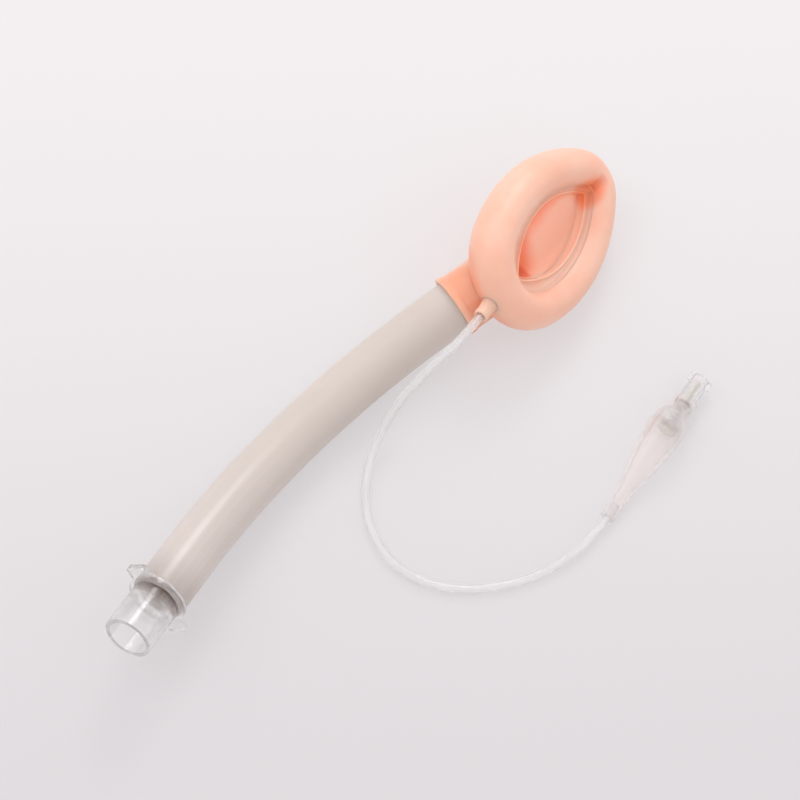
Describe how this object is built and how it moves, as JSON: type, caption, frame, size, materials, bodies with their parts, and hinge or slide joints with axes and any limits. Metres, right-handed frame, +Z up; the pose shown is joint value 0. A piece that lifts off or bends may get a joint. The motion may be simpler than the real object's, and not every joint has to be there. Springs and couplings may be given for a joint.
{
  "type": "laryngeal mask airway",
  "caption": "Silicone laryngeal mask airway: inflatable oval mask, curved tube, tapered connector, inflation line and pilot balloon with valve.",
  "frame": {"origin": "on the table under the middle of the airway's own box, without the inflation line and what is on it", "axes": "+X from the connector towards the mask's tip, +Z up from the table it lies on, Y across"},
  "size_m": [0.2206, 0.1128, 0.0404],
  "materials": {
    "clear_plastic": "clear moulded hard plastic",
    "tube_silicone": "milky translucent silicone",
    "mask_silicone": "peach silicone, satin",
    "clear_film": "clear soft vinyl",
    "valve_plastic": "off-white moulded plastic",
    "seal_rubber": "dark rubber",
    "spring_steel": "spring steel wire"
  },
  "bodies": {
    "airway": {"connector": "clear_plastic", "airway_tube": "tube_silicone", "mask_bowl": "mask_silicone", "cuff": "mask_silicone", "inflation_line": "clear_film", "pilot_balloon": "clear_film", "valve_body": "clear_plastic", "valve_end_cap": "valve_plastic", "valve_spring": "spring_steel"},
    "plunger": {"valve_plunger": "valve_plastic", "valve_seal": "seal_rubber"}
  },
  "joints": [
    {"name": "valve_slide", "type": "slide", "parent": "airway", "child": "plunger", "axis": [-1, 0, 0], "range_m": [0, 0.0012], "stiffness_N_per_m": 300, "springref_m": -0.001, "deforming": ["valve_spring"]}
  ]
}
